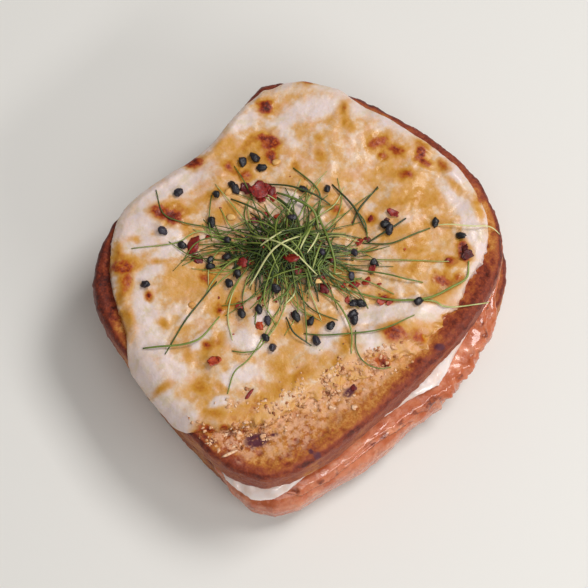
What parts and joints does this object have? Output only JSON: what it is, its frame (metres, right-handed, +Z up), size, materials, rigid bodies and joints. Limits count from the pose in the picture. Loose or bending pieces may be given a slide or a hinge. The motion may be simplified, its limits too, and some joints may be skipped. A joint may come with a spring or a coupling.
{
  "type": "croque monsieur",
  "caption": "Toasted ham and cheese sandwich on sliced loaf, with browned cheese melted over the top and a nest of fine green shoots, standing flat on its lower slice.",
  "frame": {"origin": "middle of the sandwich's box at the underside of the lower slice", "axes": "+Z up through the layers, +Y towards the loaf's domed crown, -Y towards its flat foot, +X towards the side where the ham shows"},
  "size_m": [0.1048, 0.1186, 0.0484],
  "materials": {
    "bread": "dry toasted crumb and crust",
    "toast": "deep brown crust round a golden, oily toasted crumb",
    "ham": "moist, satin pink meat with browned edges",
    "sauce": "glossy set white sauce",
    "topping": "melted cheese over white sauce, golden and blistered brown",
    "shoots": "fresh green stems with black seed husks"
  },
  "bodies": {
    "root": {"bread_lower": "bread", "ham_lower": "ham", "ham_upper": "ham", "sauce": "sauce", "bread_upper": "toast", "cheese_topping": "topping", "shoot_nest": "shoots"}
  },
  "joints": []
}
